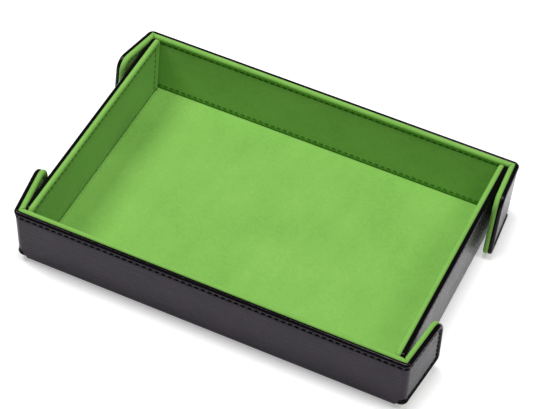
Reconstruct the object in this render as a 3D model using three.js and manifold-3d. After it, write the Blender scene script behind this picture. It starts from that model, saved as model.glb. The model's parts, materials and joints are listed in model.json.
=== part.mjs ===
// Folding dice tray: stiff boards sewn between a smooth leather cover and a soft lining.
// Four walls hinge on the base along creases, and a magnetic flap at each end of both long
// walls wraps round a corner and holds the short wall up. Millimetres, +Z up, the origin at
// the middle of the underside, +X along the tray and the front wall on the -Y side.

import * as THREE from "three";
import { mergeVertices } from "three/addons/utils/BufferGeometryUtils.js";
import Module from "manifold-3d";

const wasm = await Module();
wasm.setup();

// Driving dimensions
const TRAY_LENGTH = 260;
const TRAY_WIDTH = 174;
const WALL_HEIGHT = 44.5;
const SHORT_WALL_SETBACK = 6;
const SHORT_WALL_END_GAP = 0.8;
const SHORT_WALL_CORNER_RADIUS = 3;

// How far each panel leans out or splays open as the tray stands, in degrees
const LEAN = { front: 4, back: 7.8, left: 2.2, right: 0.3 };
const SPLAY = { front_left: 6.5, front_right: 8, back_left: 6, back_right: 4.5 };

const FLAP = {
  length: 41,
  bottomAtHinge: 3.5,
  bottomAtEnd: 4.5,
  topRadius: 9,
  bottomRadius: 4,
};

// Layers through a panel, counted inwards from the outer face
const LEATHER_THICKNESS = 1;
const LINING_THICKNESS = 1;
const BOARD_THICKNESS = 1.9;
const GAP = 0.3;
const PANEL_THICKNESS = LEATHER_THICKNESS + LINING_THICKNESS + BOARD_THICKNESS + 2 * GAP;
const HEM_MIDDLE = PANEL_THICKNESS / 2;
const EDGE_ROUNDING = 0.9;

// The seam round a panel's hemmed edges: its thread lies in a shallow groove of the cover
const SEAM_INSET = 4.2;
const THREAD = { width: 0.5, proud: 0.1, sunk: 0.3 };
const GROOVE = { width: 1.1, depth: 0.6 };

const MAGNET = { radius: 5, fromCorner: 30, height: 26 };

// A fold: its outer radius, and how far each layer stops short of the folded corner
const BASE_FOLD = { radius: 3.5, board: 5.3, lining: 5.3 };
const CORNER_FOLD = { radius: 3.5, board: 4.4, lining: 5 };
const PLEAT_WIDTH = 0.9;

const LEATHER = { color: 0x1b191d, roughness: 0.35, metalness: 0 };
const LINING = { color: 0x6ab53a, roughness: 0.95, metalness: 0 };
const BOARD = { color: 0xa39a86, roughness: 0.9, metalness: 0 };
const STEEL = { color: 0xb9bcc0, roughness: 0.3, metalness: 1 };
const BLACK_THREAD = { color: 0x151417, roughness: 0.8, metalness: 0 };

// The turning axis of a fold lies this far inside both outer faces, so that its strip of
// leather is as long when the panels lie flat as when they stand at a right angle.
const axisDepth = (fold) => fold.radius * (1 - Math.PI / 4);

const radians = THREE.MathUtils.degToRad;

// ---- Solids -------------------------------------------------------------------------

function toSolid(geometry) {
  const plain = geometry.clone();
  plain.deleteAttribute("normal");
  plain.deleteAttribute("uv");
  const merged = mergeVertices(plain, 1e-4);
  return new wasm.Manifold(
    new wasm.Mesh({
      numProp: 3,
      vertProperties: merged.attributes.position.array,
      triVerts: new Uint32Array(merged.index.array),
    }),
  );
}

function toGeometry(solid) {
  const mesh = solid.getMesh();
  const geometry = new THREE.BufferGeometry();
  geometry.setAttribute("position", new THREE.BufferAttribute(mesh.vertProperties, 3));
  geometry.setIndex(new THREE.BufferAttribute(mesh.triVerts, 1));
  geometry.computeVertexNormals();
  return geometry;
}

function namedMesh(name, geometry, finish) {
  const mesh = new THREE.Mesh(geometry, new THREE.MeshStandardMaterial(finish));
  mesh.name = name;
  return mesh;
}

// A plate of the given outline between two depths below the panel's outer face.
function plate(shape, shallow, deep, rounding = 0) {
  const geometry = new THREE.ExtrudeGeometry(shape, {
    depth: deep - shallow - 2 * rounding,
    curveSegments: 4,
    bevelEnabled: rounding > 0,
    bevelThickness: rounding,
    bevelSize: rounding,
    bevelOffset: -rounding,
    bevelSegments: 2,
  });
  geometry.translate(0, 0, rounding - deep);
  return toSolid(geometry);
}

// ---- Panel outlines -------------------------------------------------------------------

// The crossing point of two edges, each given by a point and a direction.
function crossing(first, second) {
  const between = second.point.clone().sub(first.point);
  const distance = between.cross(second.along) / first.along.cross(second.along);
  return first.point.clone().addScaledVector(first.along, distance);
}

// The panel's outline with its hemmed edges moved in by hemInset, and each folded edge by
// foldInset(fold). Corners run anticlockwise as seen from outside.
function outline(panel, hemInset, foldInset) {
  const count = panel.corners.length;
  const edges = panel.corners.map(([x, y], i) => {
    const start = new THREE.Vector2(x, y);
    const along = new THREE.Vector2(...panel.corners[(i + 1) % count]).sub(start).normalize();
    const inward = new THREE.Vector2(-along.y, along.x);
    const inset = panel.folds[i] ? foldInset(panel.folds[i]) : hemInset;
    return { point: start.addScaledVector(inward, inset), along };
  });
  const points = edges.flatMap((edge, i) => {
    const previous = edges[(i + count - 1) % count];
    const radius = (panel.radii?.[i] ?? 0) - hemInset;
    return cornerPoints(crossing(previous, edge), previous.along, edge.along, radius);
  });
  return new THREE.Shape(points);
}

// The points of one corner, rounded unless its radius is next to nothing.
function cornerPoints(corner, before, after, radius) {
  if (radius <= 0.2) return [corner];
  const turn = Math.acos(THREE.MathUtils.clamp(before.dot(after), -1, 1));
  const reach = radius * Math.tan(turn / 2);
  const start = corner.clone().addScaledVector(before, -reach);
  const end = corner.clone().addScaledVector(after, reach);
  return new THREE.QuadraticBezierCurve(start, corner, end).getPoints(4);
}

// A band along the hemmed edges, centred on the seam, that stops short of the folds.
function seamBand(panel, width, shallow, deep) {
  const outside = SEAM_INSET - width / 2;
  const wide = outline(panel, outside, (fold) => fold.lining + 1);
  const narrow = outline(panel, outside + width, (fold) => fold.lining - 1);
  return plate(wide, shallow, deep).subtract(plate(narrow, shallow - 1, deep + 1));
}

// ---- Layers of one panel --------------------------------------------------------------

function magnetSolid([x, y], radius) {
  const shape = new THREE.Shape().absarc(x, y, radius, 0, 2 * Math.PI);
  return plate(shape, LEATHER_THICKNESS + GAP, PANEL_THICKNESS - LINING_THICKNESS - GAP);
}

// A magnet's seat goes right through the board.
function cutSeat(board, at) {
  const seat = magnetSolid(at, MAGNET.radius + GAP);
  const reach = BOARD_THICKNESS / 4;
  return board.subtract(seat.translate([0, 0, reach])).subtract(seat.translate([0, 0, -reach]));
}

// Cover, lining, board, thread and magnets of a panel, in the panel's own frame: X along
// it, Y up it and the outer face at Z = 0, looking out along +Z.
function panelMeshes(name, panel) {
  const pocketOutline = outline(panel, LEATHER_THICKNESS, (fold) => fold.radius - 1);
  const pocket = plate(pocketOutline, LEATHER_THICKNESS, PANEL_THICKNESS - LINING_THICKNESS);
  const full = (foldInset) =>
    plate(outline(panel, 0, foldInset), 0, PANEL_THICKNESS, EDGE_ROUNDING);
  const half = (shallow, deep) => plate(outline(panel, -5, () => -5), shallow, deep);

  const cover = full((fold) => fold.radius)
    .intersect(half(-1, HEM_MIDDLE - GAP / 2))
    .subtract(pocket);
  const lining = full((fold) => fold.lining)
    .intersect(half(HEM_MIDDLE + GAP / 2, PANEL_THICKNESS + 1))
    .subtract(pocket);
  const magnets = panel.magnets ?? {};
  const board = plate(
    outline(panel, LEATHER_THICKNESS + GAP, (fold) => fold.board),
    LEATHER_THICKNESS + GAP,
    PANEL_THICKNESS - LINING_THICKNESS - GAP,
  );

  const group = new THREE.Group();
  const add = (piece, solid, finish) =>
    group.add(namedMesh(`${name}_${piece}`, toGeometry(solid), finish));
  add("lining", lining, LINING);
  add("board", Object.values(magnets).reduce(cutSeat, board), BOARD);
  if (panel.sewn) {
    add("cover", cover.subtract(seamBand(panel, GROOVE.width, -1, GROOVE.depth)), LEATHER);
    add("thread", seamBand(panel, THREAD.width, -THREAD.proud, THREAD.sunk), BLACK_THREAD);
  } else {
    add("cover", cover, LEATHER);
  }
  for (const [magnetName, at] of Object.entries(magnets)) {
    group.add(namedMesh(magnetName, toGeometry(magnetSolid(at, MAGNET.radius)), STEEL));
  }
  return group;
}

// ---- Folds ----------------------------------------------------------------------------

// Cross-sections of a fold about its turning axis: the panel before it lies towards -X, and
// the panel after it turns up by the bend angle. The leather runs round the outside, and
// the lining is tucked into the corner as a pleat.
function foldSections(fold, bend) {
  const depth = axisDepth(fold);
  const half = bend / 2;
  const arcRadius = (fold.radius - depth) / Math.tan(half) + depth;
  const centre = new THREE.Vector2(depth - fold.radius, arcRadius - depth);
  const trim = GAP / arcRadius;
  const from = trim - Math.PI / 2;
  const to = bend - Math.PI / 2 - trim;
  const leather = new THREE.Shape();
  leather.absarc(centre.x, centre.y, arcRadius, from, to, false);
  leather.absarc(centre.x, centre.y, arcRadius - LEATHER_THICKNESS, to, from, true);
  leather.closePath();

  const inward = new THREE.Vector2(-Math.sin(half), Math.cos(half));
  const across = new THREE.Vector2(inward.y, -inward.x).multiplyScalar(PLEAT_WIDTH / 2);
  const leatherInside = centre.length() - (arcRadius - LEATHER_THICKNESS);
  const mouth = (PANEL_THICKNESS - depth) / Math.cos(half);
  const root = inward.clone().multiplyScalar(leatherInside + GAP + 0.1);
  const tip = inward.clone().multiplyScalar(mouth - GAP);
  const pleat = new THREE.Shape([
    root.clone().sub(across),
    tip.clone().sub(across),
    tip.clone().add(across),
    root.clone().add(across),
  ]);
  return { leather, pleat };
}

function foldMeshes(name, fold, bend, start, end) {
  const { leather, pleat } = foldSections(fold, bend);
  const group = new THREE.Group();
  const add = (piece, shape, finish) => {
    const geometry = new THREE.ExtrudeGeometry(shape, {
      depth: end - start,
      curveSegments: 6,
      bevelEnabled: false,
    });
    geometry.translate(0, 0, start);
    group.add(namedMesh(`${name}_${piece}`, toGeometry(toSolid(geometry)), finish));
  };
  add("leather", leather, LEATHER);
  add("pleat", pleat, LINING);
  return group;
}

function turned(group, xAxis, yAxis, zAxis) {
  const basis = new THREE.Matrix4().makeBasis(
    new THREE.Vector3(...xAxis),
    new THREE.Vector3(...yAxis),
    new THREE.Vector3(...zAxis),
  );
  group.quaternion.setFromRotationMatrix(basis);
  return group;
}

// ---- Flaps ----------------------------------------------------------------------------

// A flap reaches from its corner along `side`: +1 to the wall's right as seen from outside.
function flapPanel(side, magnetName) {
  const { length, bottomAtHinge, bottomAtEnd, topRadius, bottomRadius } = FLAP;
  const rightward = [
    [0, bottomAtHinge],
    [length, bottomAtEnd],
    [length, WALL_HEIGHT],
    [0, WALL_HEIGHT],
  ];
  const leftward = [
    [-length, bottomAtEnd],
    [0, bottomAtHinge],
    [0, WALL_HEIGHT],
    [-length, WALL_HEIGHT],
  ];
  const right = side > 0;
  return {
    corners: right ? rightward : leftward,
    folds: right ? { 3: CORNER_FOLD } : { 1: CORNER_FOLD },
    radii: right ? [0, bottomRadius, topRadius, 0] : [bottomRadius, 0, 0, topRadius],
    sewn: true,
    magnets: { [magnetName]: [side * MAGNET.fromCorner, MAGNET.height] },
  };
}

// The flap and the fold that joins it to its wall, in the wall panel's own frame.
function flapGroup(corner, side) {
  const depth = axisDepth(CORNER_FOLD);
  const bend = radians(90 - SPLAY[corner]);
  const pivot = new THREE.Group();
  pivot.position.set(side * (TRAY_LENGTH / 2 - depth), 0, -depth);

  const hinge = new THREE.Group();
  hinge.rotation.y = side * bend;
  const flap = panelMeshes(`${corner}_flap`, flapPanel(side, `${corner}_flap_magnet`));
  flap.position.set(-side * depth, 0, depth);
  hinge.add(flap);

  const bottom = FLAP.bottomAtHinge + 1;
  const top = WALL_HEIGHT - GAP;
  const [start, end] = side > 0 ? [bottom, top] : [-top, -bottom];
  const fold = foldMeshes(`${corner}_corner`, CORNER_FOLD, bend, start, end);
  pivot.add(hinge, turned(fold, [side, 0, 0], [0, 0, -1], [0, side, 0]));
  return pivot;
}

// ---- Walls ----------------------------------------------------------------------------

function longWallPanel() {
  const half = TRAY_LENGTH / 2;
  return {
    corners: [
      [-half, 0],
      [half, 0],
      [half, WALL_HEIGHT],
      [-half, WALL_HEIGHT],
    ],
    folds: { 0: BASE_FOLD, 1: CORNER_FOLD, 3: CORNER_FOLD },
    sewn: true,
  };
}

// Half of a short wall's width at one height, up to the long wall that leans away from it.
function halfSpan(longWallLean, height) {
  const depth = axisDepth(BASE_FOLD);
  const lean = radians(longWallLean);
  const inside = PANEL_THICKNESS - depth;
  const foot = TRAY_WIDTH / 2 - depth - inside * Math.cos(lean) - SHORT_WALL_END_GAP;
  return foot + (height - depth - inside * Math.sin(lean)) * Math.tan(lean);
}

function shortWallPanel(name, leftLean, rightLean) {
  const magnetX = TRAY_WIDTH / 2 - MAGNET.fromCorner;
  const [leftEnd, rightEnd] = name === "left_wall" ? ["back", "front"] : ["front", "back"];
  return {
    corners: [
      [-halfSpan(leftLean, 0), 0],
      [halfSpan(rightLean, 0), 0],
      [halfSpan(rightLean, WALL_HEIGHT), WALL_HEIGHT],
      [-halfSpan(leftLean, WALL_HEIGHT), WALL_HEIGHT],
    ],
    folds: { 0: BASE_FOLD },
    radii: [0, 0, SHORT_WALL_CORNER_RADIUS, SHORT_WALL_CORNER_RADIUS],
    sewn: true,
    magnets: {
      [`${name}_${leftEnd}_magnet`]: [-magnetX, MAGNET.height],
      [`${name}_${rightEnd}_magnet`]: [magnetX, MAGNET.height],
    },
  };
}

// One wall hinged on the base, with the fold along its foot. `yaw` turns the front wall's
// place round to this wall's side of the tray.
function wallGroup(name, { yaw, distance, lean, panel, foldHalf, flaps = [] }) {
  const depth = axisDepth(BASE_FOLD);
  const side = new THREE.Group();
  side.rotation.z = radians(yaw);
  const pivot = new THREE.Group();
  pivot.position.set(0, depth - distance, depth);
  side.add(pivot);

  const hinge = new THREE.Group();
  hinge.rotation.x = radians(lean);
  const upright = new THREE.Group();
  upright.rotation.x = Math.PI / 2;
  upright.position.set(0, -depth, -depth);
  upright.add(panelMeshes(name, panel), ...flaps);
  hinge.add(upright);

  const bend = radians(90 - lean);
  const fold = foldMeshes(`${name}_foot`, BASE_FOLD, bend, -foldHalf, foldHalf);
  pivot.add(hinge, turned(fold, [0, -1, 0], [0, 0, 1], [-1, 0, 0]));
  return side;
}

function longWall(name, side, yaw) {
  const [leftCorner, rightCorner] = yaw === 0 ? ["left", "right"] : ["right", "left"];
  return wallGroup(name, {
    yaw,
    distance: TRAY_WIDTH / 2,
    lean: LEAN[side],
    panel: longWallPanel(),
    foldHalf: TRAY_LENGTH / 2 - SHORT_WALL_SETBACK,
    flaps: [flapGroup(`${side}_${leftCorner}`, -1), flapGroup(`${side}_${rightCorner}`, 1)],
  });
}

function shortWall(name, side, yaw) {
  const [leftLean, rightLean] =
    side === "left" ? [LEAN.back, LEAN.front] : [LEAN.front, LEAN.back];
  return wallGroup(name, {
    yaw,
    distance: TRAY_LENGTH / 2 - SHORT_WALL_SETBACK,
    lean: LEAN[side],
    panel: shortWallPanel(name, leftLean, rightLean),
    foldHalf: TRAY_WIDTH / 2 - BASE_FOLD.lining,
  });
}

// ---- Base -----------------------------------------------------------------------------

function basePanel() {
  const halfLength = TRAY_LENGTH / 2 - SHORT_WALL_SETBACK;
  const halfWidth = TRAY_WIDTH / 2;
  return {
    corners: [
      [-halfLength, -halfWidth],
      [halfLength, -halfWidth],
      [halfLength, halfWidth],
      [-halfLength, halfWidth],
    ],
    folds: { 0: BASE_FOLD, 1: BASE_FOLD, 2: BASE_FOLD, 3: BASE_FOLD },
    sewn: false,
  };
}

const tray = new THREE.Group();
const base = panelMeshes("base", basePanel());
base.rotation.x = Math.PI;
tray.add(
  base,
  longWall("front_wall", "front", 0),
  longWall("back_wall", "back", 180),
  shortWall("left_wall", "left", -90),
  shortWall("right_wall", "right", 90),
);

export default tray;
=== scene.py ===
"""The looks of the folding dice tray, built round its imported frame.

Every panel is a leather cover and a microsuede lining with padded, sewn hems. Strips of
both bend across the folds at the foot of each wall and at each corner, and rows of
stitches follow the seams. All lengths are in metres.
"""

from __future__ import annotations

import json
import logging
import math
from dataclasses import dataclass, field
from enum import Enum

import bpy
import numpy as np
from mathutils import Matrix, Vector, noise


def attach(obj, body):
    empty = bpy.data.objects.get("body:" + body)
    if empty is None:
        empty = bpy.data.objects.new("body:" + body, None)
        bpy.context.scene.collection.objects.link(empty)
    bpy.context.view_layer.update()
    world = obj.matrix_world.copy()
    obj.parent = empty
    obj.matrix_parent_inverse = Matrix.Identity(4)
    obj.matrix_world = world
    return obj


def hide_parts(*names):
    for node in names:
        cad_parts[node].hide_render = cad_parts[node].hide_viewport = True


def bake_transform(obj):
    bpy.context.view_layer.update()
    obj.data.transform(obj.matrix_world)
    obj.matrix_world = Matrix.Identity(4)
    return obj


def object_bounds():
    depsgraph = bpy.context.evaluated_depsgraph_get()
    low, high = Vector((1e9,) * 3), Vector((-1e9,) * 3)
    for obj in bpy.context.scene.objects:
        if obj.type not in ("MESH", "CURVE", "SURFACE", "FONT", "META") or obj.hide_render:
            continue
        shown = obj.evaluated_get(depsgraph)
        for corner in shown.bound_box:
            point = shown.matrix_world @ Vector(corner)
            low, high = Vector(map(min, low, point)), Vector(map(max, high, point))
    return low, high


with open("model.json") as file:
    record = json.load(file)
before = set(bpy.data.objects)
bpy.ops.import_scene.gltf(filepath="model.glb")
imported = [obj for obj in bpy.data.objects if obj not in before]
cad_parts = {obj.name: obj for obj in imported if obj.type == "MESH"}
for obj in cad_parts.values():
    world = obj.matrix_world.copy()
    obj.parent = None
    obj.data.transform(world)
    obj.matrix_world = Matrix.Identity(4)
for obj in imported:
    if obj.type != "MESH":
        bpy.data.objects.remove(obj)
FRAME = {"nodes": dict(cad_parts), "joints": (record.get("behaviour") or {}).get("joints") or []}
CAD_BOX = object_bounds()
LOG = logging.getLogger("dice_tray")

MM = 0.001
PANEL_THICKNESS = 4.5 * MM
HALF_THICKNESS = PANEL_THICKNESS / 2
SHEET_THICKNESS = 0.85 * MM
INSET = "hem_inset"
FAR_FROM_HEM = 20 * MM
SHARP_ANGLE = 50
STITCH_PITCH = 4.4 * MM
STITCH_SLANT = 0.05
SEAM_LEAD = 1.5 * MM
SEAM_RADIUS = 0.9 * MM
STITCH_PROUD = 0.10 * MM


class Layer(Enum):
    """The two faces of a panel, each with the sign of its side of the middle plane."""

    COVER = -1
    LINING = 1


# ---- Shader helpers ---------------------------------------------------------------------


class Signal:
    """A shader value that adds Math nodes when it is used in an expression."""

    def __init__(self, tree: ShaderTree, socket: bpy.types.NodeSocket) -> None:
        """Wraps an output socket of a tree."""
        self.tree = tree
        self.socket = socket

    def _math(self, operation: str, *values: Signal | float) -> Signal:
        """Adds one Math node.

        Args:
            operation: The node's operation.
            *values: What it works on, in order.

        Returns:
            The node's result.
        """
        inputs = {i: value for i, value in enumerate(values)}
        made = self.tree.node("ShaderNodeMath", {"operation": operation}, inputs)
        return self.tree.signal(made, 0)

    def __add__(self, other: Signal | float) -> Signal:
        """self + other."""
        return self._math("ADD", self, other)

    __radd__ = __add__

    def __sub__(self, other: Signal | float) -> Signal:
        """self - other."""
        return self._math("SUBTRACT", self, other)

    def __rsub__(self, other: float) -> Signal:
        """other - self."""
        return self._math("SUBTRACT", other, self)

    def __mul__(self, other: Signal | float) -> Signal:
        """self * other."""
        return self._math("MULTIPLY", self, other)

    __rmul__ = __mul__

    def ramp(self, low: float, high: float) -> Signal:
        """A smooth step from 0 at low to 1 at high.

        Args:
            low: The value that gives 0.
            high: The value that gives 1.

        Returns:
            The stepped value, between 0 and 1.
        """
        settings = {"interpolation_type": "SMOOTHSTEP"}
        inputs = {"Value": self, "From Min": low, "From Max": high}
        return self.tree.signal(self.tree.node("ShaderNodeMapRange", settings, inputs), 0)


class ShaderTree:
    """Builds one material's nodes, with the Principled shader at its end."""

    def __init__(self, name: str) -> None:
        """Starts an empty material.

        Args:
            name: the material's name.
        """
        self.material = bpy.data.materials.new(name)
        self.material.use_nodes = True
        self.nodes = self.material.node_tree.nodes
        self.links = self.material.node_tree.links
        self.shader = self.nodes["Principled BSDF"]

    def signal(self, node: bpy.types.Node, output: int | str) -> Signal:
        """Wraps one output of a node."""
        return Signal(self, node.outputs[output])

    def put(self, socket: bpy.types.NodeSocket, value: object) -> None:
        """Links a Signal to a socket, or stores a plain value in it.

        Args:
            socket: The input socket.
            value: A Signal, or a value of the socket's own type.
        """
        if isinstance(value, Signal):
            self.links.new(value.socket, socket)
        else:
            socket.default_value = value

    def node(self, kind: str, settings: dict, inputs: dict) -> bpy.types.Node:
        """Adds any node.

        Args:
            kind: The node's type, such as ShaderNodeTexNoise.
            settings: Its properties, set before its sockets.
            inputs: Socket names or numbers, with the values or Signals they take.

        Returns:
            The node.
        """
        made = self.nodes.new(kind)
        for key, value in settings.items():
            setattr(made, key, value)
        for key, value in inputs.items():
            self.put(made.inputs[key], value)
        return made

    def place(self, scale: tuple[float, float, float] = (1, 1, 1)) -> Signal:
        """Object coordinates, stretched along each axis.

        Args:
            scale: The scale along X, Y and Z.

        Returns:
            The coordinates.
        """
        coordinates = self.node("ShaderNodeTexCoord", {}, {})
        mapping = self.node(
            "ShaderNodeMapping",
            {},
            {"Vector": self.signal(coordinates, "Object"), "Scale": scale},
        )
        return self.signal(mapping, 0)

    def noise(self, place: Signal, size: float, detail: float = 2, rough: float = 0.5) -> Signal:
        """Soft noise.

        Args:
            place: The coordinates it is read at.
            size: The size of its blotches in metres.
            detail: How many finer layers are added.
            rough: How strong the finer layers are.

        Returns:
            A value around 0.5.
        """
        inputs = {"Vector": place, "Scale": 1 / size, "Detail": detail, "Roughness": rough}
        return self.signal(self.node("ShaderNodeTexNoise", {}, inputs), "Fac")

    def cells(self, place: Signal, size: float) -> Signal:
        """Distance from the middle of random cells.

        Args:
            place: The coordinates it is read at.
            size: The cells' size in metres.

        Returns:
            The distance, as a share of the size.
        """
        inputs = {"Vector": place, "Scale": 1 / size}
        return self.signal(self.node("ShaderNodeTexVoronoi", {}, inputs), "Distance")

    def attribute(self, name: str) -> Signal:
        """A value stored at the points of the mesh."""
        return self.signal(self.node("ShaderNodeAttribute", {"attribute_name": name}, {}), "Fac")

    def blend_colours(self, factor: Signal | float, first: object, second: object) -> Signal:
        """Mixes two colours.

        Args:
            factor: The second colour's share.
            first: A colour, or a Signal that carries one.
            second: The other colour.

        Returns:
            The mixed colour.
        """
        settings = {"data_type": "RGBA", "clamp_factor": True}
        made = self.node("ShaderNodeMix", settings, {0: factor, 6: first, 7: second})
        return self.signal(made, 2)

    def bump(self, height: Signal, depth: float, under: Signal | None = None) -> Signal:
        """Turns a height into a shading normal.

        Args:
            height: The height, with 1 standing for the full depth.
            depth: The full depth in metres.
            under: A normal that this one is added to.

        Returns:
            The normal.
        """
        inputs = {"Height": height, "Distance": depth, "Strength": 1.0}
        if under is not None:
            inputs["Normal"] = under
        return self.signal(self.node("ShaderNodeBump", {}, inputs), 0)

    def finish(self, **inputs: object) -> bpy.types.Material:
        """Sets the Principled shader's sockets, named with _ for a space.

        Args:
            **inputs: Socket values or Signals.

        Returns:
            The material.
        """
        for key, value in inputs.items():
            self.put(self.shader.inputs[key.replace("_", " ")], value)
        return self.material


def rgba(red: float, green: float, blue: float) -> tuple[float, float, float, float]:
    """An opaque linear colour."""
    return (red, green, blue, 1.0)


# ---- Finishes ---------------------------------------------------------------------------


@dataclass(frozen=True)
class LeatherFinish:
    """Smooth black artificial leather: fine pebbled grain under a thin gloss.

    Between a hem's roll and its stitches the leather dips and is dull. Along each hem,
    out to just short of its stitches, the colour is darkened to near black: painted shade.
    """

    black: tuple = rgba(0.0128, 0.0086, 0.0150)
    worn: tuple = rgba(0.0235, 0.0168, 0.0275)
    # painted shade: the near-black colour laid along each hem, roll included
    painted_hem_shade: tuple = rgba(0.0028, 0.0023, 0.0031)
    grain: float = 0.55 * MM
    grain_depth: float = 0.018 * MM
    roll_end: tuple[float, float] = (2.0 * MM, 2.6 * MM)
    hem_end: tuple[float, float] = (3.1 * MM, 3.8 * MM)

    def material(self) -> bpy.types.Material:
        """Builds the material.

        Returns:
            The finished material.
        """
        tree = ShaderTree("black_leather")
        place = tree.place()
        pebbles = tree.cells(place, self.grain)
        creases = tree.noise(place, 2.5 * MM, 4, 0.6)
        clouds = tree.noise(place, 22 * MM, 3, 0.5)
        drawn = tree.noise(tree.place((1, 1, 3)), 9 * MM, 2, 0.5)
        inset = tree.attribute(INSET)
        hem = 1 - inset.ramp(*self.hem_end)
        flank = inset.ramp(*self.roll_end) * hem
        clouded = tree.blend_colours(clouds.ramp(0.35, 0.75) * 0.6, self.black, self.worn)
        # painted shade: each hem, roll included, is darkened towards near black
        colour = tree.blend_colours(hem, clouded, self.painted_hem_shade)
        face = 0.21 + 0.07 * clouds.ramp(0.3, 0.7) + 0.05 * creases.ramp(0.4, 0.7)
        rough = face - 0.10 * hem + 0.55 * flank
        fine = tree.bump(pebbles.ramp(0.0, 0.6), self.grain_depth)
        soft = tree.bump(creases, 0.05 * MM, fine)
        wide = tree.bump(drawn, 0.10 * MM, soft)
        return tree.finish(
            Base_Color=colour,
            Roughness=rough,
            Normal=wide,
            Specular_IOR_Level=0.13,
            Specular_Tint=rgba(0.95, 0.82, 1.0),
        )


@dataclass(frozen=True)
class SuedeFinish:
    """Lime green microsuede whose short nap is brushed lighter and darker in patches."""

    deep: tuple = rgba(0.155, 0.360, 0.062)
    lime: tuple = rgba(0.182, 0.402, 0.073)
    bright: tuple = rgba(0.215, 0.446, 0.092)
    nap: float = 0.35 * MM

    def material(self) -> bpy.types.Material:
        """Builds the material.

        Returns:
            The finished material.
        """
        tree = ShaderTree("lime_microsuede")
        place = tree.place()
        patches = tree.noise(place, 42 * MM, 2, 0.45)
        strokes = tree.noise(tree.place((1, 0.45, 1)), 13 * MM, 3, 0.55)
        mottle = tree.noise(place, 1.9 * MM, 3, 0.6)
        fibres = tree.noise(place, self.nap, 2, 0.7)
        brushed = 0.38 * patches + 0.28 * strokes + 0.34 * mottle
        shade = tree.blend_colours(brushed.ramp(0.36, 0.52), self.deep, self.lime)
        tinted = tree.blend_colours(brushed.ramp(0.50, 0.68), shade, self.bright)
        flecks = tree.blend_colours(fibres.ramp(0.42, 0.66) * 0.45, tinted, self.bright)
        pile = tree.bump(fibres, 0.07 * MM)
        soft = tree.bump(mottle, 0.10 * MM, pile)
        return tree.finish(
            Base_Color=flecks,
            Roughness=0.93,
            Normal=soft,
            Specular_IOR_Level=0.15,
            Sheen_Weight=0.35,
            Sheen_Roughness=0.45,
            Sheen_Tint=rgba(0.55, 0.95, 0.35),
        )


@dataclass(frozen=True)
class ThreadFinish:
    """Twisted sewing thread."""

    name: str
    colour: tuple
    light: tuple
    ply: float = 0.28 * MM

    def material(self) -> bpy.types.Material:
        """Builds the material.

        Returns:
            The finished material.
        """
        tree = ShaderTree(self.name)
        fuzz = tree.noise(tree.place(), self.ply, 2, 0.6)
        colour = tree.blend_colours(fuzz.ramp(0.35, 0.7), self.colour, self.light)
        return tree.finish(
            Base_Color=colour,
            Roughness=0.8,
            Normal=tree.bump(fuzz, 0.05 * MM),
            Specular_IOR_Level=0.0,
        )


@dataclass(frozen=True)
class BoardFinish:
    """Grey bookbinding board, pressed from short fibres."""

    grey: tuple = rgba(0.34, 0.30, 0.235)
    fibre: tuple = rgba(0.46, 0.42, 0.34)

    def material(self) -> bpy.types.Material:
        """Builds the material.

        Returns:
            The finished material.
        """
        tree = ShaderTree("stiffener_board")
        fibres = tree.noise(tree.place((1, 0.3, 1)), 0.6 * MM, 4, 0.7)
        colour = tree.blend_colours(fibres.ramp(0.4, 0.65), self.grey, self.fibre)
        return tree.finish(Base_Color=colour, Roughness=0.9, Normal=tree.bump(fibres, 0.05 * MM))


@dataclass(frozen=True)
class MagnetFinish:
    """Nickel plating with faint scuffs."""

    nickel: tuple = rgba(0.58, 0.57, 0.54)

    def material(self) -> bpy.types.Material:
        """Builds the material.

        Returns:
            The finished material.
        """
        tree = ShaderTree("nickel_magnet")
        scuffs = tree.noise(tree.place((1, 6, 1)), 1.2 * MM, 3, 0.6)
        return tree.finish(
            Base_Color=self.nickel,
            Metallic=1.0,
            Roughness=0.22 + 0.2 * scuffs.ramp(0.4, 0.7),
            Normal=tree.bump(scuffs, 0.004 * MM),
        )


@dataclass(frozen=True)
class FloorFinish:
    """A plain white studio floor."""

    white: tuple = rgba(0.80, 0.80, 0.80)
    glow: float = 0.40

    def material(self) -> bpy.types.Material:
        """Builds the material, which glows a little like a light table.

        Returns:
            The finished material.
        """
        return ShaderTree("studio_floor").finish(
            Base_Color=self.white,
            Roughness=0.7,
            Emission_Color=rgba(1, 1, 1),
            Emission_Strength=self.glow,
        )


class Finishes:
    """All the tray's materials, made once."""

    def __init__(self) -> None:
        """Builds every material."""
        self.leather = LeatherFinish().material()
        self.suede = SuedeFinish().material()
        black = ThreadFinish("black_thread", rgba(0.002, 0.002, 0.002), rgba(0.010, 0.010, 0.011))
        green = ThreadFinish("green_thread", rgba(0.020, 0.075, 0.010), rgba(0.05, 0.15, 0.02))
        self.black_thread = black.material()
        self.green_thread = green.material()
        self.board = BoardFinish().material()
        self.magnet = MagnetFinish().material()
        self.floor = FloorFinish().material()

    def of_layer(self, layer: Layer) -> tuple[bpy.types.Material, str]:
        """The finish of a panel's face.

        Args:
            layer: Which face.

        Returns:
            The material, and the record's slot for it.
        """
        if layer is Layer.COVER:
            return self.leather, "cover_leather"
        return self.suede, "microsuede_lining"


# ---- Mesh helpers -----------------------------------------------------------------------


def new_piece(name: str, mesh: bpy.types.Mesh, material: bpy.types.Material) -> bpy.types.Object:
    """Adds a mesh to the scene as a piece.

    Args:
        name: The piece's name.
        mesh: Its mesh, in place.
        material: Its only material.

    Returns:
        The piece.
    """
    mesh.materials.clear()
    mesh.materials.append(material)
    piece = bpy.data.objects.new(name, mesh)
    bpy.context.scene.collection.objects.link(piece)
    return piece


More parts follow.
